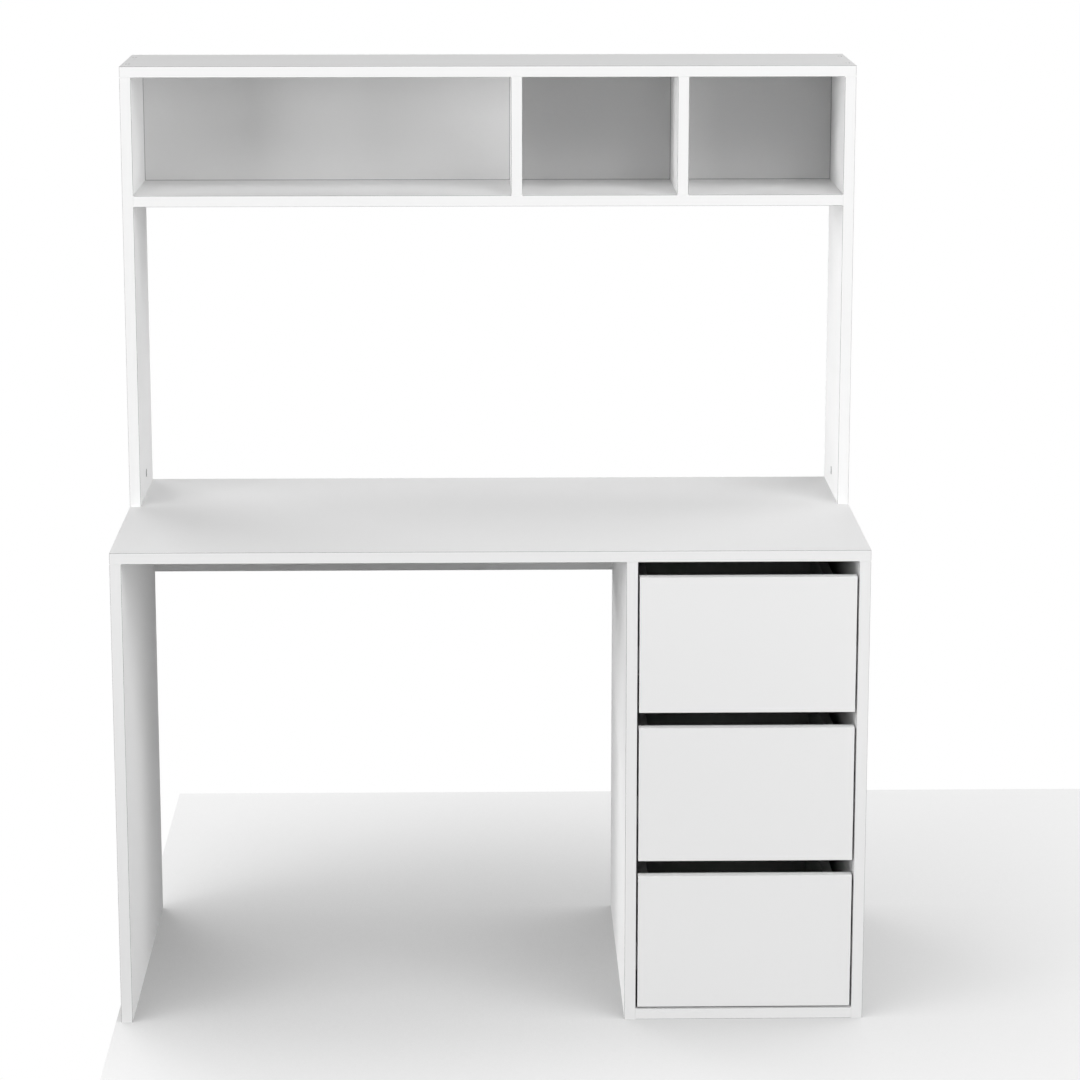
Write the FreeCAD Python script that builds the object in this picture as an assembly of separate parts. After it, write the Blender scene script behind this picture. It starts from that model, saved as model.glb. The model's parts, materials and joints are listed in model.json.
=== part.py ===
import FreeCAD, Part
import math
import os

# A student's writing desk: a board carcass with a knee space on the left and a pedestal of three
# drawers on the right, and a hutch with three compartments that stands on the back of the desktop.
# The drawers have no handles: each is pulled by its top edge, through the gap above its front.
# They run on full-extension telescopic runners with ball cages.
#
# Millimetres. X points right, Y to the back and Z up. The origin is on the floor, under the middle
# of the desk.

Vector = FreeCAD.Vector

# ---- driving dimensions: boards ------------------------------------------------------------------
desk_width = 1200.0
desk_depth = 585.0
desk_height = 778.0
board = 18.0                  # melamine-faced chipboard of the carcass, hutch and drawer fronts
thin_board = 3.0              # backs and drawer bottoms
ease = 0.4                    # bevel of the banded front edges

knee_space_width = 796.0
rail_height = 142.0           # back rail under the desktop

hutch_depth = 230.0
hutch_side_height = 712.0
shelf_underside = 501.0       # above the desktop
left_compartment = 619.0
right_compartment = 254.5     # the middle compartment is as wide

groove_width = 3.3
groove_depth = 6.0
groove_setback = 6.6          # from the rear face of the boards to the groove
groove_bite = 5.0             # how far a thin board reaches into a groove at its sides and top

# ---- driving dimensions: drawers -----------------------------------------------------------------
front_gap = 3.0               # beside the drawer fronts and under the lowest one
front_height = 221.0
front_pitch = 246.5           # from one front to the next, which leaves the finger gap between them
drawer_board = 16.0
drawer_side_height = 145.0
drawer_side_drop = 61.0       # from the top of the front down to the top of the side
drawer_depth = 500.0
bottom_rise = 10.0            # from the lower edge of a side up to its groove

# ---- driving dimensions: runners -----------------------------------------------------------------
runner_length = 500.0
runner_height = 45.0
runner_thickness = 12.7
runner_setback = 2.0          # from the back face of the drawer front
runner_rise = 65.0            # from the lower edge of a drawer side to the runner's middle
steel = 1.2
race = 2.5                    # radius of the grooves that the balls run in
middle_rail_web = 2.4         # from the carcass to the middle rail
stop_height = 12.0            # of the tabs that stop the middle rail at both ends as the drawer shuts
stop_play = 0.8               # between a tab and the end of the middle rail
cage_strip = 0.5
cage_length = 220.0
cage_start = 132.0            # from the front end of a closed runner
cage_tab = 1.9                # how far a cage's tab reaches past the middle of its balls
cage_bend = 4.2               # from the middle of the inner balls back to the bend of their cage
cage_slope = 20.0             # of the inner cage's tabs, in degrees

# ---- driving dimensions: fittings ----------------------------------------------------------------
cam_diameter = 15.0
cam_height = 12.0
cam_bore_depth = 12.5
cam_recess = 0.3              # the cam lies this far below the board's face
cam_distance = 34.0           # from the joint to the middle of the cam
cam_slot = 7.4
bolt_diameter = 6.0
bolt_hole_depth = 11.0
bolt_bore_diameter = 7.0
dowel_diameter = 8.0
dowel_length = 29.0
dowel_hole_depth = 11.0       # in the desktop
dowel_offset = 64.0           # either side of the hutch cam
screw_head_diameter = 8.0
screw_diameter = 5.0
screw_length = 45.0
screw_sink = 2.5              # the head lies this far below the hutch top
screw_inset = 50.0            # from the front and rear edges of the hutch top

# ---- places worked out from them -----------------------------------------------------------------
half_width = desk_width / 2
front = -desk_depth / 2
rear = desk_depth / 2
left_inner = -half_width + board
right_inner = half_width - board
divider_left = left_inner + knee_space_width
divider_right = divider_left + board
under_desktop = desk_height - board

hutch_front = rear - hutch_depth
hutch_middle = rear - hutch_depth / 2
shelf_bottom = desk_height + shelf_underside
shelf_top = shelf_bottom + board
hutch_top_bottom = desk_height + hutch_side_height
hutch_top_face = hutch_top_bottom + board
left_partition_x = left_inner + left_compartment
right_partition_x = right_inner - right_compartment - board

groove_rear = rear - groove_setback
groove_front = groove_rear - groove_width
thin_front = (groove_rear + groove_front - thin_board) / 2

front_back_face = front + board
drawer_rear = front_back_face + drawer_depth
runner_front = front_back_face + runner_setback
drawer_left = divider_right + runner_thickness
drawer_right = right_inner - runner_thickness
drawer_names = ["bottom", "middle", "top"]


# ---- shared helpers ------------------------------------------------------------------------------
def block(x0, x1, y0, y1, z0, z1):
    """A plain board between two opposite corners."""
    return Part.makeBox(x1 - x0, y1 - y0, z1 - z0, Vector(x0, y0, z0))


def ease_front(shape, y, ends=False):
    """Bevel the long edges of a board's front face at y, and the short ones where its ends are bare."""
    edges = [e for e in shape.Edges if all(abs(v.Point.y - y) < 1e-6 for v in e.Vertexes)]
    return shape.makeChamfer(ease, [e for e in edges if ends or e.Length > 2 * board])


def prism(outline, start, vector):
    """Extrude a flat outline, given as points in the XZ plane, from the plane y = start."""
    points = [Vector(x, start, z) for x, z in outline]
    return Part.Face(Part.makePolygon(points + points[:1])).extrude(vector)


def bore(point, direction, diameter, depth):
    return Part.makeCylinder(diameter / 2, depth, point, direction)


def turned(profile, point, direction):
    """A body of revolution from (radius, height) points, with its axis along direction."""
    points = [Vector(r, 0, h) for r, h in profile]
    solid = Part.Face(Part.makePolygon(points + points[:1])).revolve(Vector(), Vector(0, 0, 1), 360)
    solid.Placement = FreeCAD.Placement(point, FreeCAD.Rotation(Vector(0, 0, 1), direction))
    return solid


# ---- fittings ------------------------------------------------------------------------------------
def cam_lock(face_point, out, towards_joint):
    """A cam lock, sunk in a board's face, with the slot that takes the head of its bolt."""
    base = face_point - out * (cam_recess + cam_height)
    cam = bore(base, out, cam_diameter, cam_height)
    across = out.cross(towards_joint)
    corner = face_point - out * (board / 2 + cam_slot / 2) - across * (cam_slot / 2)
    corner -= towards_joint * (cam_slot / 2)
    reach = cam_slot / 2 + cam_diameter
    points = [corner, corner + across * cam_slot]
    points += [points[1] + towards_joint * reach, corner + towards_joint * reach]
    slot = Part.Face(Part.makePolygon(points + points[:1])).extrude(out * cam_slot)
    return cam.cut(slot)


def cam_bore(face_point, out):
    return bore(face_point, out * -1, cam_diameter, cam_bore_depth)


def desktop_cams():
    """The cams in the three uprights that pull the desktop down: (upright, face point, out)."""
    z = under_desktop - cam_distance
    places = []
    uprights = (("left", left_inner, 1), ("divider", divider_right, 1), ("right", right_inner, -1))
    for upright, x, side in uprights:
        for y in (front / 3, rear / 3):
            places.append((upright, Vector(x, y, z), Vector(side, 0, 0)))
    return places


def rail_cams():
    """The cam at each end of the back rail: (face point, out, towards the joint)."""
    z = under_desktop - rail_height / 2
    ends = ((left_inner + cam_distance, -1), (divider_left - cam_distance, 1))
    return [(Vector(x, rear - board, z), Vector(0, -1, 0), Vector(way, 0, 0)) for x, way in ends]


def base_cams():
    """The cam at each end of the pedestal's base, in its underside: (face point, out, towards the joint)."""
    ends = ((divider_right + cam_distance, -1), (right_inner - cam_distance, 1))
    return [(Vector(x, 0, 0), Vector(0, 0, -1), Vector(way, 0, 0)) for x, way in ends]


def hutch_cams():
    """The cam low down in each hutch side: (face point, out)."""
    z = desk_height + cam_distance
    return [
        (Vector(left_inner, hutch_middle, z), Vector(1, 0, 0)),
        (Vector(right_inner, hutch_middle, z), Vector(-1, 0, 0)),
    ]


def cam_locks():
    up = Vector(0, 0, 1)
    cams = [cam_lock(point, out, up) for _, point, out in desktop_cams()]
    cams += [cam_lock(point, out, way) for point, out, way in rail_cams() + base_cams()]
    cams += [cam_lock(point, out, up * -1) for point, out in hutch_cams()]
    return Part.makeCompound(cams)


def hutch_bolt_points():
    """Where the hutch bolts stand on the desktop, in the middle of each side's thickness."""
    return [Vector(side * (half_width - board / 2), hutch_middle, desk_height) for side in (-1, 1)]


def cam_bolts():
    """The bolts that stand in the desktop and end in the hutch cams."""
    down = Vector(0, 0, -bolt_hole_depth)
    length = bolt_hole_depth + cam_distance + bolt_diameter / 2
    up = Vector(0, 0, 1)
    return Part.makeCompound([bore(p + down, up, bolt_diameter, length) for p in hutch_bolt_points()])


def dowel_points():
    shifts = [Vector(0, way * dowel_offset, 0) for way in (-1, 1)]
    return [p + shift for p in hutch_bolt_points() for shift in shifts]


def wood_dowels():
    """The dowels that keep the hutch sides from turning on the desktop."""
    down = Vector(0, 0, -dowel_hole_depth)
    up = Vector(0, 0, 1)
    return Part.makeCompound([bore(p + down, up, dowel_diameter, dowel_length) for p in dowel_points()])


def top_screw_points():
    xs = (-half_width + board / 2, half_width - board / 2)
    ys = (hutch_front + screw_inset, rear - screw_inset)
    return [Vector(x, y, hutch_top_face) for x in xs for y in ys]


def screw_profile():
    """A countersunk screw's half section, from its tip up to the rim of its head."""
    head = screw_head_diameter / 2
    shank = screw_diameter / 2
    tip = -screw_sink - screw_length
    neck = -screw_sink - (head - shank)
    return [(0, tip), (shank, tip), (shank, neck), (head, -screw_sink)]


def hutch_top_screws():
    outline = screw_profile() + [(0, -screw_sink)]
    return Part.makeCompound([turned(outline, point, Vector(0, 0, 1)) for point in top_screw_points()])


def screw_hole(point):
    """The hole of a top screw, open at the face so that the head lies in a small round recess."""
    outline = screw_profile() + [(screw_head_diameter / 2, 0), (0, 0)]
    return turned(outline, point, Vector(0, 0, 1))


# ---- carcass -------------------------------------------------------------------------------------
def back_groove(x0, x1, z0, z1):
    """The cutter for the groove that holds a thin back."""
    return block(x0, x1, groove_front, groove_rear, z0, z1)


def desktop():
    shape = block(-half_width, half_width, front, rear, under_desktop, desk_height)
    shape = ease_front(shape, front, ends=True)
    cuts = [back_groove(divider_right - groove_depth, right_inner + groove_depth,
                        under_desktop, under_desktop + groove_depth)]
    down = Vector(0, 0, -1)
    cuts += [bore(p, down, bolt_diameter, bolt_hole_depth) for p in hutch_bolt_points()]
    cuts += [bore(p, down, dowel_diameter, dowel_hole_depth) for p in dowel_points()]
    return shape.cut(cuts)


def upright(name, x0, x1):
    """One of the three boards that carry the desktop, with the bores of its cams."""
    shape = ease_front(block(x0, x1, front, rear, 0, under_desktop), front)
    return shape.cut([cam_bore(point, out) for place, point, out in desktop_cams() if place == name])


def left_side_panel():
    return upright("left", -half_width, left_inner)


def divider_panel():
    groove = back_groove(divider_right - groove_depth, divider_right, board - groove_depth, under_desktop)
    return upright("divider", divider_left, divider_right).cut(groove)


def right_side_panel():
    groove = back_groove(right_inner, right_inner + groove_depth, board - groove_depth, under_desktop)
    return upright("right", right_inner, half_width).cut(groove)


def base_panel():
    shape = ease_front(block(divider_right, right_inner, front, rear, 0, board), front)
    cuts = [cam_bore(point, out) for point, out, _ in base_cams()]
    cuts.append(back_groove(divider_right, right_inner, board - groove_depth, board))
    return shape.cut(cuts)


def back_rail():
    rail = block(left_inner, divider_left, rear - board, rear, under_desktop - rail_height, under_desktop)
    return rail.cut([cam_bore(point, out) for point, out, _ in rail_cams()])


def pedestal_back():
    return block(divider_right - groove_bite, right_inner + groove_bite, thin_front, thin_front + thin_board,
                 board - groove_depth, under_desktop + groove_bite)


# ---- hutch ---------------------------------------------------------------------------------------
def hutch_side(sign):
    """A hutch side, on the left for -1 and on the right for 1, with its groove, cam and dowel holes."""
    inner = sign * right_inner
    outer = sign * half_width
    shape = block(min(inner, outer), max(inner, outer), hutch_front, rear, desk_height, hutch_top_bottom)
    groove_floor = inner + sign * groove_depth
    cuts = [back_groove(min(inner, groove_floor), max(inner, groove_floor),
                        shelf_top - groove_depth, hutch_top_bottom)]
    up = Vector(0, 0, 1)
    cuts += [cam_bore(point, out) for point, out in hutch_cams() if point.x * sign > 0]
    cuts += [bore(p, up, bolt_bore_diameter, cam_distance) for p in hutch_bolt_points() if p.x * sign > 0]
    dowel_hole = dowel_length - dowel_hole_depth
    cuts += [bore(p, up, dowel_diameter, dowel_hole) for p in dowel_points() if p.x * sign > 0]
    cuts += [screw_hole(p) for p in top_screw_points() if p.x * sign > 0]
    return ease_front(shape, hutch_front).cut(cuts)


def hutch_top():
    shape = block(-half_width, half_width, hutch_front, rear, hutch_top_bottom, hutch_top_face)
    cuts = [back_groove(left_inner - groove_depth, right_inner + groove_depth,
                        hutch_top_bottom, hutch_top_bottom + groove_depth)]
    cuts += [screw_hole(p) for p in top_screw_points()]
    return ease_front(shape, hutch_front, ends=True).cut(cuts)


def hutch_shelf():
    shape = block(left_inner, right_inner, hutch_front, rear, shelf_bottom, shelf_top)
    groove = back_groove(left_inner, right_inner, shelf_top - groove_depth, shelf_top)
    return ease_front(shape, hutch_front).cut(groove)


def partition(x0):
    """An upright between two compartments, from the front edge to just short of the thin back."""
    shape = block(x0, x0 + board, hutch_front, groove_front, shelf_top, hutch_top_bottom)
    return ease_front(shape, hutch_front)


def hutch_back():
    return block(left_inner - groove_bite, right_inner + groove_bite, thin_front, thin_front + thin_board,
                 shelf_top - groove_depth, hutch_top_bottom + groove_bite)


# ---- runners -------------------------------------------------------------------------------------
# A runner's section lies in the plane (u, v): u runs from the carcass to the drawer side and v is the
# height from the runner's middle. Above and below the middle lie two rows of balls. The outer row's
# centre is one race and one sheet in from the outer rail's back and top, and the inner row's centre
# is as far in from the drawer side. The middle rail's flange is an S that passes under the outer row
# and over the inner row, so the two centres are two races and one sheet apart.
outer_ball_u = steel + race
outer_ball_v = runner_height / 2 - steel - race
inner_ball_u = runner_thickness - steel - race
inner_ball_v = outer_ball_v - math.sqrt((2 * race + steel) ** 2 - (inner_ball_u - outer_ball_u) ** 2)
turnover = math.degrees(math.atan2(inner_ball_v - outer_ball_v, inner_ball_u - outer_ball_u))
bead = race + steel           # radius of the sheet's outer face round a ball
outer_lip_angle = 20.0
middle_lip_angle = 35.0
inner_lip_angle = -140.0
inner_shoulder_angle = -20.0


def around(u, v, radius, angle):
    """The point at this radius and angle, in degrees, from the centre (u, v)."""
    turn = math.radians(angle)
    return (u + radius * math.cos(turn), v + radius * math.sin(turn))


def folds(u, v, radius, start, end, count):
    """The corners of a sheet that is folded count times round a circle, from angle start to end."""
    step = (end - start) / count
    reach = radius / math.cos(math.radians(step / 2))
    return [around(u, v, reach, start + step * (i + 0.5)) for i in range(count)]


def angle_on(radius, offset):
    """The angle, below the centre, at which a circle is this far to the right of its centre."""
    return -math.degrees(math.acos(offset / radius))


def half_edges(path, sign):
    """The edges along a path, where a step ("arc", via, end) bends to its end, above or below the middle."""
    edges = []
    here = path[0]
    for step in path[1:]:
        end = step[2] if step[0] == "arc" else step
        first, last = Vector(here[0], 0, sign * here[1]), Vector(end[0], 0, sign * end[1])
        if step[0] == "arc":
            edges.append(Part.Arc(first, Vector(step[1][0], 0, sign * step[1][1]), last).toShape())
        else:
            edges.append(Part.makeLine(first, last))
        here = end
    for point in (path[0], here):
        if sign > 0:
            edges.append(Part.makeLine(Vector(point[0], 0, -point[1]), Vector(point[0], 0, point[1])))
    return edges


def section_face(path):
    """A section that is the same above and below the middle, from the path of its upper flange."""
    edges = Part.__sortEdges__(half_edges(path, 1) + half_edges(path, -1))
    return Part.Face(Part.Wire(edges))


def race_arc(u, v, start, end):
    return ("arc", around(u, v, race, (start + end) / 2), around(u, v, race, end))


def outer_rail_face():
    """The rail on the carcass: a flat back whose edges curl over the balls."""
    u, v = outer_ball_u, outer_ball_v
    curl = folds(u, v, bead, 180, 0, 4)
    path = curl + [around(u, v, race, outer_lip_angle), race_arc(u, v, outer_lip_angle, 180)]
    return section_face(path)


def middle_rail_face():
    """The rail between: each flange passes under the outer balls, then over the inner ones."""
    u, v = outer_ball_u, outer_ball_v
    x, z = inner_ball_u, inner_ball_v
    left = middle_rail_web
    right = middle_rail_web + steel
    start = angle_on(race, left - u)
    stop = angle_on(bead, right - u)
    path = [around(u, v, race, start), race_arc(u, v, start, turnover)]
    path += folds(x, z, bead, turnover + 180, middle_lip_angle, 3)
    path += [around(x, z, bead, middle_lip_angle), around(x, z, race, middle_lip_angle)]
    path += [race_arc(x, z, middle_lip_angle, turnover + 180)]
    path += folds(u, v, bead, turnover, stop, 2)
    path += [around(u, v, bead, stop)]
    return section_face(path)


def inner_rail_face():
    """The rail on the drawer: a flat back whose edges curl under the balls."""
    u, v = inner_ball_u, inner_ball_v
    left = runner_thickness - steel
    stop = angle_on(bead, left - u)
    shoulder = around(u, v, race, inner_shoulder_angle)
    path = [(runner_thickness, shoulder[1]), shoulder]
    path += [race_arc(u, v, inner_shoulder_angle, inner_lip_angle)]
    path += [around(u, v, bead, inner_lip_angle)]
    path += folds(u, v, bead, inner_lip_angle, stop, 3)
    path += [around(u, v, bead, stop)]
    return section_face(path)


def strip(points):
    """A face of the cage's sheet thickness along a line of points, which the sheet is centred on."""
    line = Part.makePolygon([Vector(u, 0, v) for u, v in points])
    one = line.makeOffset2D(cage_strip / 2, join=2, openResult=True)
    other = line.makeOffset2D(-cage_strip / 2, join=2, openResult=True)
    first = [vertex.Point for vertex in one.OrderedVertexes]
    second = [vertex.Point for vertex in other.OrderedVertexes]
    loop = first + second[::-1]
    return Part.Face(Part.makePolygon(loop + loop[:1]))


def outer_cage_face():
    """The cage between the outer and middle rails, whose two tabs hold the outer balls."""
    web = (steel + middle_rail_web) / 2
    reach = outer_ball_u + cage_tab
    v = outer_ball_v
    return strip([(reach, v), (web, v), (web, -v), (reach, -v)])


def inner_cage_face():
    """The cage between the middle and inner rails. Its tabs slope through the inner balls."""
    tip = around(inner_ball_u, inner_ball_v, cage_tab, cage_slope)
    bend = around(inner_ball_u, inner_ball_v, cage_bend, cage_slope + 180)
    return strip([tip, bend, (bend[0], -bend[1]), (tip[0], -tip[1])])


def drawn(face, start, length):
    """Extrude a runner section along the drawer's travel, from its distance behind the runner's front."""
    solid = face.extrude(Vector(0, length, 0))
    solid.translate(Vector(0, start, 0))
    return solid


def stop_tab(u0, u1, start):
    """A tab bent out of a rail's back, across the end of the middle rail."""
    return block(u0, u1, start, start + steel, -stop_height / 2, stop_height / 2)


def outer_rail():
    """The rail on the carcass, with a stop at its rear end."""
    stop = stop_tab(steel, middle_rail_web + steel, runner_length - steel)
    return drawn(outer_rail_face(), 0, runner_length).fuse(stop).removeSplitter()


def middle_rail():
    """The rail between, shorter by the two stops and their play."""
    return drawn(middle_rail_face(), steel + stop_play, runner_length - 2 * (steel + stop_play))


def inner_rail():
    """The rail on the drawer, with a stop at its front end."""
    stop = stop_tab(middle_rail_web, runner_thickness - steel, 0)
    return drawn(inner_rail_face(), 0, runner_length).fuse(stop).removeSplitter()


def at_side(shape, side, z):
    """Set a runner's piece on the left (-1) or right (1) wall, with its middle at height z."""
    if side < 0:
        placed = shape.copy()
    else:
        placed = shape.mirror(Vector(), Vector(1, 0, 0))
    placed.translate(Vector(divider_right if side < 0 else right_inner, runner_front, z))
    return placed


rails = {"outer_rail": outer_rail(), "middle_rail": middle_rail(), "inner_rail": inner_rail()}
cages = {
    "outer_ball_cages": drawn(outer_cage_face(), cage_start, cage_length),
    "inner_ball_cages": drawn(inner_cage_face(), cage_start, cage_length),
}


def runner_parts(name, z):
    """The rails and cages of one drawer's two runners, whose middle is at height z."""
    parts = {}
    for side, word in ((-1, "left"), (1, "right")):
        for rail, shape in rails.items():
            parts[f"{name}_{word}_{rail}"] = at_side(shape, side, z)
    for cage, shape in cages.items():
        parts[f"{name}_{cage}"] = Part.makeCompound([at_side(shape, side, z) for side in (-1, 1)])
    return parts


# ---- drawers -------------------------------------------------------------------------------------
def drawer_side(side, z0):
    """A drawer side: its section, with the groove for the bottom, extruded from front to back."""
    outer = drawer_left if side < 0 else drawer_right
    inner = outer - side * drawer_board
    floor = inner + side * groove_depth
    low, high = z0 + bottom_rise, z0 + bottom_rise + groove_width
    top = z0 + drawer_side_height
    outline = [(outer, z0), (inner, z0), (inner, low), (floor, low), (floor, high), (inner, high)]
    outline += [(inner, top), (outer, top)]
    return prism(outline, front_back_face, Vector(0, drawer_depth, 0))


def drawer_parts(name, z0):
    """The five boards of one drawer, from the height of its sides' lower edges."""
    front_top = z0 + drawer_side_height + drawer_side_drop
    inner_left = drawer_left + drawer_board
    inner_right = drawer_right - drawer_board
    groove = z0 + bottom_rise
    bottom_top = groove + thin_board
    panel = block(divider_right + front_gap, right_inner - front_gap, front, front_back_face,
                  front_top - front_height, front_top)
    cut = block(inner_left - groove_depth, inner_right + groove_depth,
                front_back_face - groove_depth, front_back_face, groove, groove + groove_width)
    return {
        f"{name}_drawer_front": ease_front(panel, front, ends=True).cut(cut),
        f"{name}_drawer_left_side": drawer_side(-1, z0),
        f"{name}_drawer_right_side": drawer_side(1, z0),
        f"{name}_drawer_back": block(inner_left, inner_right, drawer_rear - drawer_board, drawer_rear,
                                     bottom_top, z0 + drawer_side_height),
        f"{name}_drawer_bottom": block(inner_left - groove_bite, inner_right + groove_bite,
                                       front_back_face - groove_bite, drawer_rear, groove, bottom_top),
    }


# ---- the whole desk ------------------------------------------------------------------------------
parts = {
    "desktop": desktop(),
    "left_side_panel": left_side_panel(),
    "divider_panel": divider_panel(),
    "right_side_panel": right_side_panel(),
    "base_panel": base_panel(),
    "back_rail": back_rail(),
    "pedestal_back": pedestal_back(),
    "hutch_left_side": hutch_side(-1),
    "hutch_right_side": hutch_side(1),
    "hutch_top": hutch_top(),
    "hutch_shelf": hutch_shelf(),
    "hutch_left_partition": partition(left_partition_x),
    "hutch_right_partition": partition(right_partition_x),
    "hutch_back": hutch_back(),
    "cam_locks": cam_locks(),
    "cam_bolts": cam_bolts(),
    "wood_dowels": wood_dowels(),
    "hutch_top_screws": hutch_top_screws(),
}
lowest_side = board + front_gap + front_height - drawer_side_drop - drawer_side_height
for number, drawer in enumerate(drawer_names):
    side_bottom = lowest_side + number * front_pitch
    parts.update(drawer_parts(drawer, side_bottom))
    parts.update(runner_parts(drawer, side_bottom + runner_rise))

os.makedirs("parts", exist_ok=True)
for name, shape in parts.items():
    shape.exportStep(f"parts/{name}.step")
    print(f"{name}: {len(shape.Solids)} solids, valid {shape.isValid()}, volume {shape.Volume:.0f}")
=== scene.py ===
import bpy
import json
import math
from mathutils import Matrix, Vector


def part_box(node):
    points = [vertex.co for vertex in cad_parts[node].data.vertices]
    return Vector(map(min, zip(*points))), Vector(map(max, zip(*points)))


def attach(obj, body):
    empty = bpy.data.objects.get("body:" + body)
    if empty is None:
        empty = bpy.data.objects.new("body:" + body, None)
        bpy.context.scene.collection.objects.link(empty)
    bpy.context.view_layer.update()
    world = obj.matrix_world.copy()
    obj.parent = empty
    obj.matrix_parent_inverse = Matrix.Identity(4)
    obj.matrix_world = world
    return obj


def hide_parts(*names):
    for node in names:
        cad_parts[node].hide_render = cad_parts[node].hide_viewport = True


# A white student's desk with a drawer pedestal and a hutch. The boards, rails and cages come from the
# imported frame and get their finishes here. Then come the fittings too small for the frame: cam locks
# with their drives, screws and runner balls. Last are the floor, the camera, the lamps and the world.
# Metres, X right, Y to the back, Z up, origin on the floor under the middle of the desk.

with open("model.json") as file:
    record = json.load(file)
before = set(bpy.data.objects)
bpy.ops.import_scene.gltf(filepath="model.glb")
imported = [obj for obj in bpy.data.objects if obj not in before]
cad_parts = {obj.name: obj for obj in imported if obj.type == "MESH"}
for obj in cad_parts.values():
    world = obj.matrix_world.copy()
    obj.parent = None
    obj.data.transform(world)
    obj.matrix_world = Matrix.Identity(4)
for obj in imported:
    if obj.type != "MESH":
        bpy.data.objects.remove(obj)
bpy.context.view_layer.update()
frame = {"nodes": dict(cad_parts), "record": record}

DRAWERS = ("bottom", "middle", "top")
PARTITIONS = ("hutch_left_partition", "hutch_right_partition")

# ---- the desk's measures ---------------------------------------------------------------------------
MM = 0.001
HALF_WIDTH = 0.600
BOARD = 0.018
FRONT = -0.2925
BACK = 0.2925
HUTCH_FRONT = 0.0625
DIVIDER_LEFT = 0.214
DIVIDER_RIGHT = 0.232
INNER_RIGHT = 0.582
UNDER_DESKTOP = 0.760
DESKTOP_FACE = 0.778
SHELF_BOTTOM = 1.279
SHELF_TOP = 1.297
UNDER_HUTCH_TOP = 1.490
HUTCH_TOP_FACE = 1.508
HUTCH_MIDDLE = 0.1775
BACK_RAIL_MIDDLE = 0.689

# The drawer boxes.
DRAWER_LEFT = 0.2447
DRAWER_RIGHT = 0.5693
DRAWER_BOARD = 0.016
FRONT_BACK_FACE = FRONT + BOARD

# The runners: each rail is bent from one sheet of steel and holds two rows of balls.
RUNNER_THICKNESS = 12.7 * MM
STEEL = 1.2 * MM
RUNNER_FRONT = FRONT_BACK_FACE + 2 * MM
BALL_RADIUS = 2.38 * MM
BALL_PITCH = 22 * MM
BALLS_IN_ROW = 10
OUTER_BALLS = (3.7 * MM, 18.8 * MM)
INNER_BALLS = (9.0 * MM, 15.583 * MM)

# The cam locks. Their drum fills a bore, sunk a little below the board's face.
CAM_RADIUS = 7.5 * MM
CAM_SLOT = 7.4 * MM
CAM_DISTANCE = 34 * MM
SINK = 0.3 * MM

# Where screws and cams stand: on Y, then above the foot of a drawer's side, then in millimetres behind
# the front end of a runner.
SHELF_FITTING_YS = (0.1125, 0.2325)
TOP_SCREW_YS = (0.1125, 0.2425)
DRAWER_CAM_RISES = (0.035, 0.112)
DRAWER_SCREW_RISES = (0.028, 0.122)
OUTER_RAIL_SCREW_STEPS = (37, 229, 453)
INNER_RAIL_SCREW_STEPS = (35, 227, 440)
TOP_SCREW_SINK = 2.5 * MM
SHELF_SCREW_PROUD = 0.1 * MM

UP, DOWN = (0, 0, 1), (0, 0, -1)
LEFT, RIGHT = (-1, 0, 0), (1, 0, 0)
FORWARD = (0, -1, 0)

# A face counts as square to an axis from this share of its normal on.
SQUARE_ON = 0.9

# ---- the levels of the finishes --------------------------------------------------------------------
BOARD_WHITE = 0.80
# Painted edge shade: the bevels along free board edges are coloured darker, and on the drawer fronts
# only faintly.
PAINTED_EDGE_SHADE = 0.14
FRONT_PAINTED_EDGE_SHADE = 0.78
# Painted corner shade: a dark line where the hutch's back meets its sides, partitions and shelf.
PAINTED_CORNER_SHADE = 0.30
FLOOR_GREY = 0.28
FLOOR_GLOW = 0.64
SHADE_REACH = 1.0


# ---- nodes and finishes ----------------------------------------------------------------------------
def put(tree, kind, inputs=None, **settings):
    """Adds a shader node. A socket among the inputs is linked, and anything else is set."""
    made = tree.nodes.new(kind)
    for name, value in settings.items():
        setattr(made, name, value)
    for name, value in (inputs or {}).items():
        if isinstance(value, bpy.types.NodeSocket):
            tree.links.new(value, made.inputs[name])
        else:
            made.inputs[name].default_value = value
    return made


def calc(tree, operation, a, b):
    return put(tree, "ShaderNodeMath", {0: a, 1: b}, operation=operation).outputs[0]


def ranged(tree, value, low, high):
    """Maps 0..1 to low..high."""
    return put(tree, "ShaderNodeMapRange", {"Value": value, "To Min": low, "To Max": high}).outputs[0]


def noise(tree, where, scale, detail=2.0, roughness=0.5):
    inputs = {"Vector": where, "Scale": scale, "Detail": detail, "Roughness": roughness}
    return put(tree, "ShaderNodeTexNoise", inputs).outputs[0]


def stretched(tree, where, factors):
    """The same place, scaled along each way: a small factor draws a pattern out into streaks."""
    return put(tree, "ShaderNodeMapping", {"Vector": where, "Scale": factors}).outputs[0]


def mixed(tree, factor, a, b):
    """Mixes two colours, each a colour or a socket."""
    made = put(tree, "ShaderNodeMix", {0: factor, 6: a, 7: b}, data_type="RGBA")
    return made.outputs[2]


def grey(level):
    return (level, level, level, 1.0)


def inside_box(tree, where, low, high):
    """1 inside the box between two corners and 0 outside it."""
    centre = [(a + b) / 2 for a, b in zip(low, high)]
    half = [(b - a) / 2 for a, b in zip(low, high)]
    off = put(tree, "ShaderNodeVectorMath", {0: where, 1: centre}, operation="SUBTRACT").outputs[0]
    size = put(tree, "ShaderNodeVectorMath", {0: off}, operation="ABSOLUTE").outputs[0]
    parts = put(tree, "ShaderNodeSeparateXYZ", {0: size}).outputs
    result = 1.0
    for part, reach in zip(parts, half):
        result = calc(tree, "MULTIPLY", calc(tree, "LESS_THAN", part, reach), result)
    return result


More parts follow.
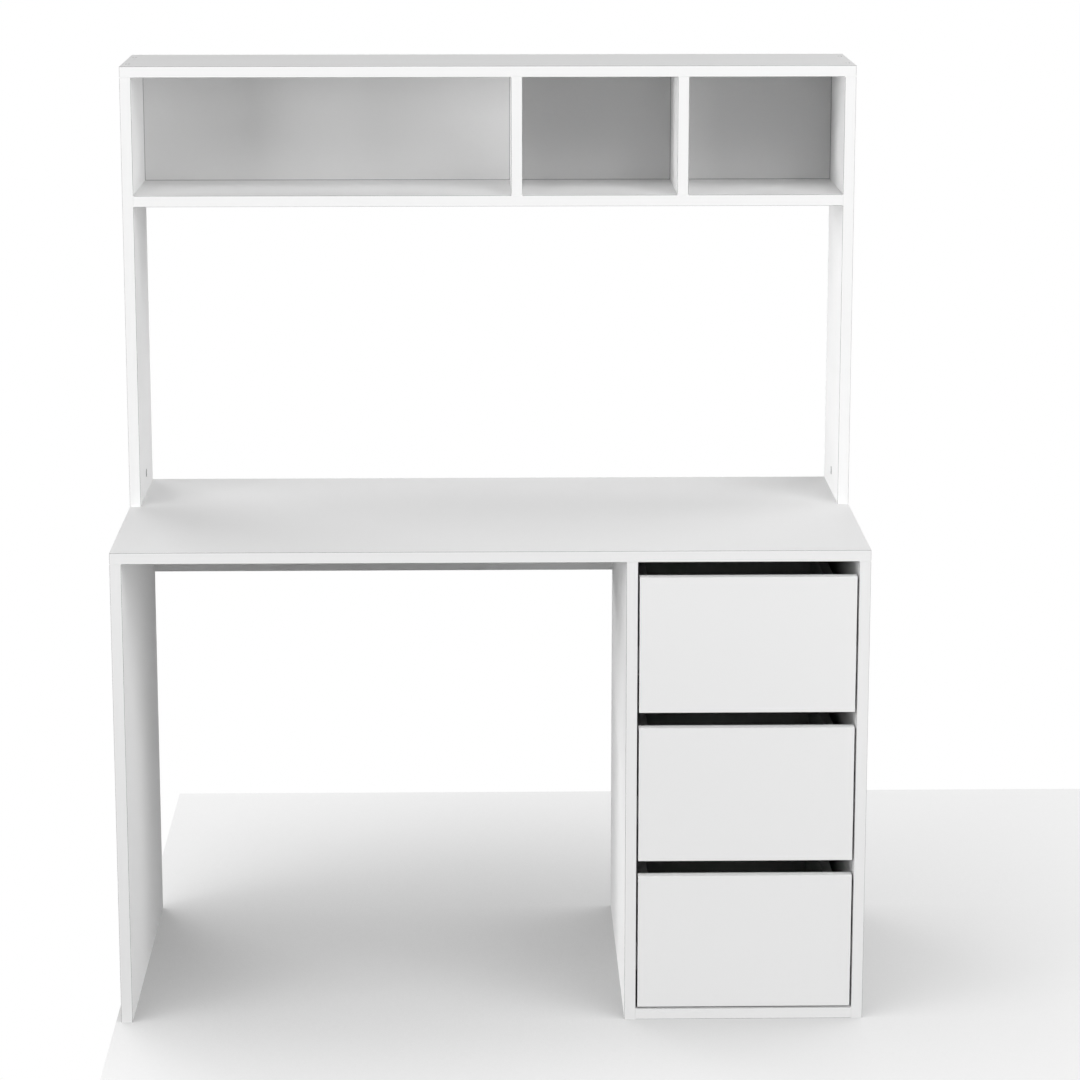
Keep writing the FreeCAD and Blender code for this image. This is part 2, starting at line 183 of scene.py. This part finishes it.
def new_finish(name):
    finish = bpy.data.materials.new(name)
    finish.use_nodes = True
    tree = finish.node_tree
    tree.nodes.clear()
    shader = put(tree, "ShaderNodeBsdfPrincipled")
    out = put(tree, "ShaderNodeOutputMaterial")
    tree.links.new(shader.outputs[0], out.inputs[0])
    where = put(tree, "ShaderNodeTexCoord").outputs["Object"]
    return finish, tree, shader, where


def feed(tree, shader, **sockets):
    for name, value in sockets.items():
        tree.links.new(value, shader.inputs[name.replace("_", " ")])


def bump(tree, height, strength, distance):
    inputs = {"Height": height, "Strength": strength, "Distance": distance}
    return put(tree, "ShaderNodeBump", inputs).outputs[0]


def painted_edge_shade_mask(tree, joints, where):
    """1 on the small bevels along the banded edges, which get painted edge shade, apart from where
    board butts against board.
    """
    normal = put(tree, "ShaderNodeTexCoord").outputs["Normal"]
    size = put(tree, "ShaderNodeVectorMath", {0: normal}, operation="ABSOLUTE").outputs[0]
    parts = put(tree, "ShaderNodeSeparateXYZ", {0: size}).outputs
    steepest = calc(tree, "MAXIMUM", calc(tree, "MAXIMUM", parts[0], parts[1]), parts[2])
    mask = calc(tree, "LESS_THAN", steepest, SQUARE_ON)
    for low, high in joints:
        outside = calc(tree, "SUBTRACT", 1.0, inside_box(tree, where, low, high))
        mask = calc(tree, "MULTIPLY", mask, outside)
    return mask


def melamine(name, joints, edge_shade_level):
    """White melamine on chipboard: a matt pearl grain, faint drift in the white, and painted edge shade
    on the bevels of its free edges.
    """
    finish, tree, shader, where = new_finish(name)
    pearl = noise(tree, where, 620.0, 2.0, 0.6)
    drift = noise(tree, where, 3.2, 3.0)
    cloud = noise(tree, where, 45.0, 2.0)
    white = mixed(tree, drift, grey(BOARD_WHITE * 0.992), grey(BOARD_WHITE * 1.006))
    white = mixed(tree, ranged(tree, pearl, 0.0, 0.18), white, grey(BOARD_WHITE * 0.94))
    # The bevels along free edges are painted darker here as edge shade.
    colour = mixed(tree, painted_edge_shade_mask(tree, joints, where), white, grey(edge_shade_level))
    rough = calc(tree, "ADD", ranged(tree, cloud, 0.62, 0.70), ranged(tree, pearl, -0.03, 0.03))
    feed(tree, shader, Base_Color=colour, Roughness=rough, Normal=bump(tree, pearl, 0.10, 0.00012))
    shader.inputs["Specular IOR Level"].default_value = 0.25
    return finish


def hardboard(name, shaded_corners):
    """Thin lacquered hardboard with a pressed fibre texture, and a painted line of shade in each corner
    where it sits in a groove.
    """
    finish, tree, shader, where = new_finish(name)
    fibres = noise(tree, stretched(tree, where, (1.0, 1.0, 3.0)), 260.0, 4.0, 0.65)
    drift = noise(tree, where, 5.0, 3.0)
    white = mixed(tree, drift, grey(BOARD_WHITE * 0.96), grey(BOARD_WHITE * 0.99))
    white = mixed(tree, ranged(tree, fibres, 0.0, 0.25), white, grey(BOARD_WHITE * 0.90))
    for low, high in shaded_corners:
        # Each corner box gets a painted line of shade.
        white = mixed(tree, inside_box(tree, where, low, high), white, grey(PAINTED_CORNER_SHADE))
    feed(tree, shader, Base_Color=white, Roughness=ranged(tree, fibres, 0.50, 0.66),
         Normal=bump(tree, fibres, 0.12, 0.0002))
    return finish


def plated(name, level, low, high, along=(1.0, 1.0, 1.0), tint=(1.0, 1.0, 1.0), edge=1.0):
    """Plated or rolled metal: its level, its roughness from low to high, streaks along one way and a
    little clouding. The edge says how bright it gets when seen at a flat angle."""
    finish, tree, shader, where = new_finish(name)
    streaks = noise(tree, stretched(tree, where, along), 900.0, 3.0, 0.6)
    cloud = noise(tree, where, 55.0, 3.0)
    dark = tuple(level * 0.86 * c for c in tint) + (1.0,)
    light = tuple(level * 1.06 * c for c in tint) + (1.0,)
    colour = mixed(tree, calc(tree, "MULTIPLY", streaks, cloud), dark, light)
    rough = calc(tree, "ADD", ranged(tree, streaks, low, high), ranged(tree, cloud, -0.04, 0.06))
    shader.inputs["Metallic"].default_value = 1.0
    shader.inputs["Specular Tint"].default_value = grey(edge)
    feed(tree, shader, Base_Color=colour, Roughness=rough, Normal=bump(tree, streaks, 0.08, 0.00006))
    return finish


def beech_wood(name):
    """Beech with its grain and pores drawn out along Z."""
    finish, tree, shader, where = new_finish(name)
    pores = noise(tree, stretched(tree, where, (1.0, 1.0, 0.12)), 1400.0, 3.0, 0.6)
    rings = noise(tree, stretched(tree, where, (1.0, 1.0, 0.1)), 320.0, 2.0)
    wood = mixed(tree, rings, (0.64, 0.45, 0.27, 1.0), (0.78, 0.60, 0.41, 1.0))
    wood = mixed(tree, ranged(tree, pores, 0.0, 0.4), wood, (0.42, 0.27, 0.15, 1.0))
    feed(tree, shader, Base_Color=wood, Roughness=ranged(tree, pores, 0.55, 0.75),
         Normal=bump(tree, pores, 0.2, 0.0001))
    return finish


# Where one board's front edge meets another's, the painted edge shade is left off, so that the joint
# shows only as a hairline.
# A seam reaches this far across the joint and in depth, and stays this far off the boards' own corners.
SEAM = 1.2 * MM
NEAR = 3 * MM
OFF_CORNER = 1 * MM


def seam(x0, x1, z0, z1, y):
    return ((x0 - SEAM, y - NEAR, z0 - SEAM), (x1 + SEAM, y + NEAR, z1 + SEAM))


def seam_above(x0, x1, z, y):
    """The seam at height z where a flat board meets an upright one that reaches from x0 to x1."""
    return seam(x0 + OFF_CORNER, x1 - OFF_CORNER, z, z, y)


carcass_joints = [
    seam_above(-HALF_WIDTH, -HALF_WIDTH + BOARD, UNDER_DESKTOP, FRONT),
    seam_above(DIVIDER_LEFT, DIVIDER_RIGHT, UNDER_DESKTOP, FRONT),
    seam_above(HALF_WIDTH - BOARD, HALF_WIDTH, UNDER_DESKTOP, FRONT),
    seam(DIVIDER_RIGHT, DIVIDER_RIGHT, 0.0, BOARD - OFF_CORNER, FRONT),
    seam(INNER_RIGHT, INNER_RIGHT, 0.0, BOARD - OFF_CORNER, FRONT),
    seam_above(-HALF_WIDTH, -HALF_WIDTH + BOARD, UNDER_HUTCH_TOP, HUTCH_FRONT),
    seam_above(HALF_WIDTH - BOARD, HALF_WIDTH, UNDER_HUTCH_TOP, HUTCH_FRONT),
    seam(-INNER_RIGHT, -INNER_RIGHT, SHELF_BOTTOM + OFF_CORNER, SHELF_TOP - OFF_CORNER, HUTCH_FRONT),
    seam(INNER_RIGHT, INNER_RIGHT, SHELF_BOTTOM + OFF_CORNER, SHELF_TOP - OFF_CORNER, HUTCH_FRONT),
]
for node_name in PARTITIONS:
    low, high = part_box(node_name)
    for z in (SHELF_TOP, UNDER_HUTCH_TOP):
        carcass_joints.append(seam_above(low.x, high.x, z, HUTCH_FRONT))

# A painted line of shade where the hutch's thin back sits in a groove at the sides and shelf and passes
# behind the partitions.
SHADE_LINE_REACH = 0.8 * MM
corner_xs = [-INNER_RIGHT, INNER_RIGHT]
for node_name in PARTITIONS:
    corner_xs += [corner.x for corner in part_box(node_name)]
back_corner_shade = [((x - SHADE_LINE_REACH, HUTCH_FRONT, SHELF_TOP), (x + SHADE_LINE_REACH, BACK, UNDER_HUTCH_TOP))
                for x in corner_xs]
back_corner_shade.append(((-INNER_RIGHT, HUTCH_FRONT, SHELF_TOP - SHADE_LINE_REACH),
                     (INNER_RIGHT, BACK, SHELF_TOP + SHADE_LINE_REACH)))

finishes = {
    "white_board": melamine("white_melamine", carcass_joints, PAINTED_EDGE_SHADE),
    "drawer_front": melamine("drawer_front_melamine", [], FRONT_PAINTED_EDGE_SHADE),
    "white_hardboard": hardboard("white_hardboard", back_corner_shade),
    "zinc_plated_steel": plated("zinc_plated_steel", 0.66, 0.26, 0.38, along=(1.0, 0.03, 1.0),
                                tint=(0.99, 1.0, 1.02)),
    "cage_steel": plated("cage_steel", 0.56, 0.30, 0.42, along=(1.0, 0.05, 1.0)),
    "zinc": plated("cast_zinc", 0.24, 0.50, 0.64, edge=0.15),
    "bright_steel": plated("bright_steel", 0.68, 0.22, 0.34),
    "beech": beech_wood("beech"),
}


def dress(obj, slot_name):
    obj.data.materials.clear()
    obj.data.materials.append(finishes[slot_name])


for part in frame["record"]["subparts"]:
    dress(frame["nodes"][part["node"]], part["material_slot"])
for drawer in DRAWERS:
    dress(frame["nodes"][drawer + "_drawer_front"], "drawer_front")


# ---- small fittings --------------------------------------------------------------------------------
def start_piece(add, name, **settings):
    """Adds a primitive with nothing else selected, and names it."""
    bpy.ops.object.select_all(action="DESELECT")
    add(**settings)
    made = bpy.context.object
    made.name = name
    return made


def cut_away(piece, cutter):
    """Takes one closed shape out of another and removes it."""
    bpy.ops.object.select_all(action="DESELECT")
    piece.select_set(True)
    bpy.context.view_layer.objects.active = piece
    cut = piece.modifiers.new("cut", "BOOLEAN")
    cut.operation = "DIFFERENCE"
    cut.solver = "EXACT"
    cut.object = cutter
    bpy.ops.object.modifier_apply(modifier=cut.name)
    bpy.data.objects.remove(cutter)


def round_rim(piece, width, segments=2):
    """Rounds the sharp edges of a piece and smooths what is left round."""
    bpy.ops.object.select_all(action="DESELECT")
    piece.select_set(True)
    bpy.context.view_layer.objects.active = piece
    rim = piece.modifiers.new("rim", "BEVEL")
    rim.width = width
    rim.segments = segments
    rim.limit_method = "ANGLE"
    rim.angle_limit = math.radians(50)
    bpy.ops.object.modifier_apply(modifier=rim.name)
    bpy.ops.object.shade_smooth_by_angle(angle=math.radians(35))


def drive_cutter(reach, depth, top):
    """The cross that a screwdriver fits, as two crossed bars that taper towards their foot."""
    width, taper = 0.36, 0.45
    bars = []
    for turn in (0, 90):
        bar = start_piece(bpy.ops.mesh.primitive_cube_add, "bar", size=1.0,
                          location=(0, 0, top - depth / 2))
        bar.scale = (2 * reach, width * reach, depth * 2)
        bar.rotation_euler = (0, 0, math.radians(turn))
        bpy.ops.object.transform_apply(location=True, rotation=True, scale=True)
        for vertex in bar.data.vertices:
            if vertex.co.z < top - depth / 2:
                vertex.co.z = top - depth
                vertex.co.x *= taper
                vertex.co.y *= taper
            else:
                vertex.co.z = top + depth
        bars.append(bar)
    return bars


def screw_head(name, radius, height, drive):
    """A domed screw head with its cross drive, and a short shank. The head's rim lies at z = 0."""
    head = start_piece(bpy.ops.mesh.primitive_cylinder_add, name, vertices=28, radius=radius,
                       depth=height, location=(0, 0, height / 2))
    bpy.ops.object.transform_apply(location=True, rotation=False, scale=False)
    bpy.ops.object.mode_set(mode="EDIT")
    bpy.ops.mesh.select_all(action="DESELECT")
    bpy.ops.mesh.select_mode(type="FACE")
    bpy.ops.object.mode_set(mode="OBJECT")
    for face in head.data.polygons:
        face.select = face.normal.z > SQUARE_ON
    bpy.ops.object.mode_set(mode="EDIT")
    bpy.ops.mesh.inset(thickness=radius * 0.28, depth=height * 0.22)
    bpy.ops.mesh.inset(thickness=radius * 0.28, depth=height * 0.06)
    bpy.ops.mesh.select_all(action="DESELECT")
    bpy.ops.object.mode_set(mode="OBJECT")
    for face in head.data.polygons:
        face.select = face.normal.z < -SQUARE_ON
    bpy.ops.object.mode_set(mode="EDIT")
    bpy.ops.mesh.inset(thickness=radius * 0.45, depth=0.0)
    bpy.ops.mesh.extrude_region_move(TRANSFORM_OT_translate={"value": (0, 0, -radius * 0.5)})
    bpy.ops.object.mode_set(mode="OBJECT")
    top = max(vertex.co.z for vertex in head.data.vertices)
    for bar in drive_cutter(drive, drive * 0.7, top):
        cut_away(head, bar)
    round_rim(head, radius * 0.05)
    return head


def countersunk(name, radius, shank, length, drive, proud=0.0):
    """A countersunk screw with its face at z = proud: a rim, a cone under it, a shank and a point."""
    rim = 0.3 * MM
    screw = start_piece(bpy.ops.mesh.primitive_cylinder_add, name, vertices=28, radius=radius,
                        depth=rim, location=(0, 0, proud - rim / 2))
    bpy.ops.object.transform_apply(location=True, rotation=False, scale=False)
    bpy.ops.object.mode_set(mode="EDIT")
    bpy.ops.mesh.select_mode(type="FACE")
    bpy.ops.mesh.select_all(action="DESELECT")
    bpy.ops.object.mode_set(mode="OBJECT")
    for face in screw.data.polygons:
        face.select = face.normal.z < -SQUARE_ON
    bpy.ops.object.mode_set(mode="EDIT")
    cone = radius - shank
    for drop, share in ((cone, shank / radius), (length - cone - rim - shank, 1.0), (shank, 0.15)):
        bpy.ops.mesh.extrude_region_move(TRANSFORM_OT_translate={"value": (0, 0, -drop)})
        bpy.ops.transform.resize(value=(share, share, 1.0))
    bpy.ops.object.mode_set(mode="OBJECT")
    for bar in drive_cutter(drive, drive * 0.8, proud):
        cut_away(screw, bar)
    round_rim(screw, radius * 0.04, segments=1)
    return screw


def cam_body(name, face, height, slotted):
    """A cam lock that faces +Z: a drum with a cross drive, an arrow to its joint at +X, a bolt slot."""
    cam = start_piece(bpy.ops.mesh.primitive_cylinder_add, name, vertices=42, radius=CAM_RADIUS,
                      depth=height, location=(0, 0, face - height / 2))
    bpy.ops.object.transform_apply(location=True, rotation=False, scale=False)
    if slotted:
        slot = start_piece(bpy.ops.mesh.primitive_cube_add, "slot", size=1.0,
                           location=(CAM_SLOT, 0, -BOARD / 2))
        slot.scale = (3 * CAM_SLOT, CAM_SLOT, CAM_SLOT)
        bpy.ops.object.transform_apply(location=True, rotation=True, scale=True)
        cut_away(cam, slot)
    arrow = start_piece(bpy.ops.mesh.primitive_cylinder_add, "arrow", vertices=3, radius=1.1 * MM,
                        depth=0.8 * MM, location=(5.6 * MM, 0, face),
                        rotation=(0, 0, math.radians(-90)))
    bpy.ops.object.transform_apply(location=True, rotation=True, scale=True)
    cut_away(cam, arrow)
    for bar in drive_cutter(3.2 * MM, min(2.6 * MM, height * 0.8), face):
        cut_away(cam, bar)
    round_rim(cam, 0.25 * MM)
    return cam


def at(point, out, towards):
    """A fitting's place: the middle of its face, the way it faces, and the way its joint lies."""
    z = Vector(out).normalized()
    x = Vector(towards).normalized()
    place = Matrix((x, z.cross(x), z)).transposed().to_4x4()
    place.translation = Vector(point)
    return place


def fit_copies(source, name, places, body, slot_name, replaced=()):
    """Sets one copy of a fitting at every place, as one piece that rides on a body."""
    copies = []
    for place in places:
        copy = source.copy()
        copy.data = source.data.copy()
        copy.data.transform(place)
        bpy.context.scene.collection.objects.link(copy)
        copies.append(copy)
    bpy.ops.object.select_all(action="DESELECT")
    for copy in copies:
        copy.select_set(True)
    bpy.context.view_layer.objects.active = copies[0]
    if len(copies) > 1:
        bpy.ops.object.join()
    piece = bpy.context.object
    piece.name = name
    piece.data.name = name
    dress(piece, slot_name)
    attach(piece, body)
    if replaced:
        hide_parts(*replaced)


# The cams that the boards are bored for.
cam = cam_body("cam", face=-SINK, height=12 * MM, slotted=True)
places = []
for x, out in ((-INNER_RIGHT, RIGHT), (DIVIDER_RIGHT, RIGHT), (INNER_RIGHT, LEFT)):
    for y in (FRONT / 3, BACK / 3):
        places.append(at((x, y, UNDER_DESKTOP - CAM_DISTANCE), out, UP))
for x, way in ((-INNER_RIGHT + CAM_DISTANCE, LEFT), (DIVIDER_LEFT - CAM_DISTANCE, RIGHT)):
    places.append(at((x, BACK - BOARD, BACK_RAIL_MIDDLE), FORWARD, way))
for x, way in ((DIVIDER_RIGHT + CAM_DISTANCE, LEFT), (INNER_RIGHT - CAM_DISTANCE, RIGHT)):
    places.append(at((x, 0, 0), DOWN, way))
for x, out in ((-INNER_RIGHT, RIGHT), (INNER_RIGHT, LEFT)):
    places.append(at((x, HUTCH_MIDDLE, DESKTOP_FACE + CAM_DISTANCE), out, DOWN))
fit_copies(cam, "carcass_cam_locks", places, "carcass", "zinc", ["cam_locks"])
bpy.data.objects.remove(cam)

# The cams of the shelf and of the drawer boxes, whose bores they fill.
cam = cam_body("cam", face=0.15 * MM, height=4 * MM, slotted=False)
places = [at((way[0] * (INNER_RIGHT - CAM_DISTANCE), y, SHELF_BOTTOM), DOWN, way)
          for way in (LEFT, RIGHT) for y in SHELF_FITTING_YS]
fit_copies(cam, "shelf_cam_locks", places, "carcass", "zinc")
inner_faces = ((DRAWER_LEFT + DRAWER_BOARD, RIGHT), (DRAWER_RIGHT - DRAWER_BOARD, LEFT))
for drawer in DRAWERS:
    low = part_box(drawer + "_drawer_left_side")[0].z
    places = [at((x, FRONT_BACK_FACE + CAM_DISTANCE, low + rise), out, FORWARD)
              for x, out in inner_faces for rise in DRAWER_CAM_RISES]
    fit_copies(cam, drawer + "_drawer_cam_locks", places, drawer + "_drawer", "zinc")
bpy.data.objects.remove(cam)

# The screws through the hutch top, in their sunk holes, and those up through the shelf.
screw = countersunk("screw", radius=4 * MM, shank=2.5 * MM, length=45 * MM, drive=2.1 * MM)
places = [at((x, y, HUTCH_TOP_FACE - TOP_SCREW_SINK), UP, RIGHT)
          for x in (-HALF_WIDTH + BOARD / 2, HALF_WIDTH - BOARD / 2) for y in TOP_SCREW_YS]
fit_copies(screw, "hutch_top_screw_set", places, "carcass", "bright_steel", ["hutch_top_screws"])
places = []
for node_name in PARTITIONS:
    low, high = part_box(node_name)
    places += [at(((low.x + high.x) / 2, y, SHELF_BOTTOM - SHELF_SCREW_PROUD), DOWN, RIGHT)
               for y in SHELF_FITTING_YS]
fit_copies(screw, "partition_screws", places, "carcass", "bright_steel")
bpy.data.objects.remove(screw)

# The runners' screws: flat heads in the outer rails, pan heads in the inner ones. Then the screws of
# the drawer boxes and the balls.
flat = countersunk("flat", radius=3.8 * MM, shank=2.2 * MM, length=13 * MM, drive=1.9 * MM,
                   proud=0.15 * MM)
pan = screw_head("pan", radius=3.4 * MM, height=1.2 * MM, drive=1.7 * MM)
box_screw = countersunk("box_screw", radius=3.6 * MM, shank=2.0 * MM, length=30 * MM,
                        drive=1.9 * MM, proud=0.12 * MM)
ball = start_piece(bpy.ops.mesh.primitive_uv_sphere_add, "ball", segments=10, ring_count=7,
                   radius=BALL_RADIUS)
bpy.ops.object.shade_smooth()
walls = ((DIVIDER_RIGHT, RIGHT), (INNER_RIGHT, LEFT))
outer_ys = [RUNNER_FRONT + step * MM for step in OUTER_RAIL_SCREW_STEPS]
inner_ys = [RUNNER_FRONT + step * MM for step in INNER_RAIL_SCREW_STEPS]
inner_rail_reach = RUNNER_THICKNESS - STEEL
for drawer in DRAWERS:
    low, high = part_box(drawer + "_left_outer_rail")
    middle = (low.z + high.z) / 2
    places = [at((x + way[0] * STEEL, y, middle), way, UP) for x, way in walls for y in outer_ys]
    fit_copies(flat, drawer + "_outer_rail_screws", places, "carcass", "bright_steel")
    places = [at((x + way[0] * inner_rail_reach, y, middle), (-way[0], 0, 0), UP)
              for x, way in walls for y in inner_ys]
    fit_copies(pan, drawer + "_inner_rail_screws", places, drawer + "_drawer", "bright_steel")
    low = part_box(drawer + "_drawer_left_side")[0].z
    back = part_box(drawer + "_drawer_back")
    places = [at((x, (back[0].y + back[1].y) / 2, low + rise), out, UP)
              for x, out in ((DRAWER_LEFT, LEFT), (DRAWER_RIGHT, RIGHT)) for rise in DRAWER_SCREW_RISES]
    fit_copies(box_screw, drawer + "_drawer_back_screws", places, drawer + "_drawer", "bright_steel")
    for cage, (from_wall, from_middle) in (("outer", OUTER_BALLS), ("inner", INNER_BALLS)):
        cage_low, cage_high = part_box(f"{drawer}_{cage}_ball_cages")
        start = (cage_low.y + cage_high.y) / 2 - BALL_PITCH * (BALLS_IN_ROW - 1) / 2
        places = [Matrix.Translation((x + way[0] * from_wall, start + BALL_PITCH * count,
                                      middle + sign * from_middle))
                  for x, way in walls for sign in (-1, 1) for count in range(BALLS_IN_ROW)]
        fit_copies(ball, f"{drawer}_{cage}_balls", places, f"{drawer}_{cage}_cages", "bright_steel")
for source in (flat, pan, box_screw, ball):
    bpy.data.objects.remove(source)


# ---- floor, camera, lamps, world -------------------------------------------------------------------
def seen_directly(tree):
    """1 for what the camera sees, also in metal or through glass, and 0 for any other light."""
    rays = put(tree, "ShaderNodeLightPath").outputs
    mirrored = calc(tree, "MAXIMUM", rays["Is Glossy Ray"], rays["Is Transmission Ray"])
    return calc(tree, "MAXIMUM", rays["Is Camera Ray"], mirrored)


def floor_finish():
    """A matt floor with a glow that only the camera sees, fainter where the desk shades it."""
    finish, tree, shader, where = new_finish("studio_floor")
    cloud = noise(tree, where, 1.4, 3.0)
    grain = noise(tree, where, 300.0, 2.0)
    colour = mixed(tree, cloud, grey(FLOOR_GREY * 0.99), grey(FLOOR_GREY * 1.01))
    shade = put(tree, "ShaderNodeAmbientOcclusion", {"Distance": SHADE_REACH}, samples=16)
    glow = calc(tree, "MULTIPLY", seen_directly(tree), shade.outputs["AO"])
    glow = calc(tree, "MULTIPLY", glow, FLOOR_GLOW)
    feed(tree, shader, Base_Color=colour, Roughness=ranged(tree, grain, 0.70, 0.80),
         Emission_Strength=glow)
    shader.inputs["Emission Color"].default_value = grey(1.0)
    shader.inputs["Specular IOR Level"].default_value = 0.2
    return finish


FLOOR_SIZE = (4.0, 5.0)
FLOOR_MIDDLE = (1.391, -1.4955, 0.0)
floor = start_piece(bpy.ops.mesh.primitive_plane_add, "studio_floor", size=1.0)
floor.data.transform(Matrix.Translation(FLOOR_MIDDLE) @ Matrix.Diagonal((*FLOOR_SIZE, 1.0, 1.0)))
floor.data.materials.append(floor_finish())

CAMERA_LENS = 119.027
CAMERA_PLACE = (-0.02732, -5.77613, 2.01122)
CAMERA_YAW = 0.019049
CAMERA_PITCH = -0.217925
camera_data = bpy.data.cameras.new("camera")
camera_data.lens = CAMERA_LENS
camera_data.sensor_width = 36.0
camera_data.clip_end = 60.0
camera = bpy.data.objects.new("camera", camera_data)
bpy.context.scene.collection.objects.link(camera)
camera.location = CAMERA_PLACE
forward = Vector((math.sin(CAMERA_YAW) * math.cos(CAMERA_PITCH),
                  math.cos(CAMERA_YAW) * math.cos(CAMERA_PITCH), math.sin(CAMERA_PITCH)))
camera.rotation_mode = "QUATERNION"
camera.rotation_quaternion = forward.to_track_quat("-Z", "Y")
bpy.context.scene.camera = camera

LAMP_DISTANCE = 5.0
LAMP_SIZE = 2.4
LAMP_TARGET = Vector((0, 0, 0.8))


def softbox(name, turn, rise, watts):
    """A square studio lamp, turned round the desk from the front and raised above its middle."""
    lamp_data = bpy.data.lights.new(name, "AREA")
    lamp_data.shape = "SQUARE"
    lamp_data.size = LAMP_SIZE
    lamp_data.energy = watts
    lamp = bpy.data.objects.new(name, lamp_data)
    bpy.context.scene.collection.objects.link(lamp)
    turn, rise = math.radians(turn), math.radians(rise)
    out = Vector((math.sin(turn) * math.cos(rise), -math.cos(turn) * math.cos(rise), math.sin(rise)))
    lamp.location = LAMP_TARGET + out * LAMP_DISTANCE
    lamp.rotation_mode = "QUATERNION"
    lamp.rotation_quaternion = (-out).to_track_quat("-Z", "Y")


softbox("left_low_lamp", -60, 6, 168)
softbox("left_high_lamp", -35, 45, 67)
softbox("right_high_lamp", 35, 45, 100)
softbox("right_low_lamp", 60, 6, 136)
softbox("right_top_lamp", 110, 50, 50)
softbox("rear_lamp", -145, 12, 118)

WORLD_STRENGTH = 0.02
world = bpy.data.worlds.new("studio")
world.use_nodes = True
sky = world.node_tree
sky.nodes.clear()
strength = ranged(sky, seen_directly(sky), WORLD_STRENGTH, 1.0)
backdrop = put(sky, "ShaderNodeBackground", {"Color": grey(1.0), "Strength": strength})
put(sky, "ShaderNodeOutputWorld", {0: backdrop.outputs[0]})
bpy.context.scene.world = world

bpy.context.scene.view_settings.view_transform = "Standard"
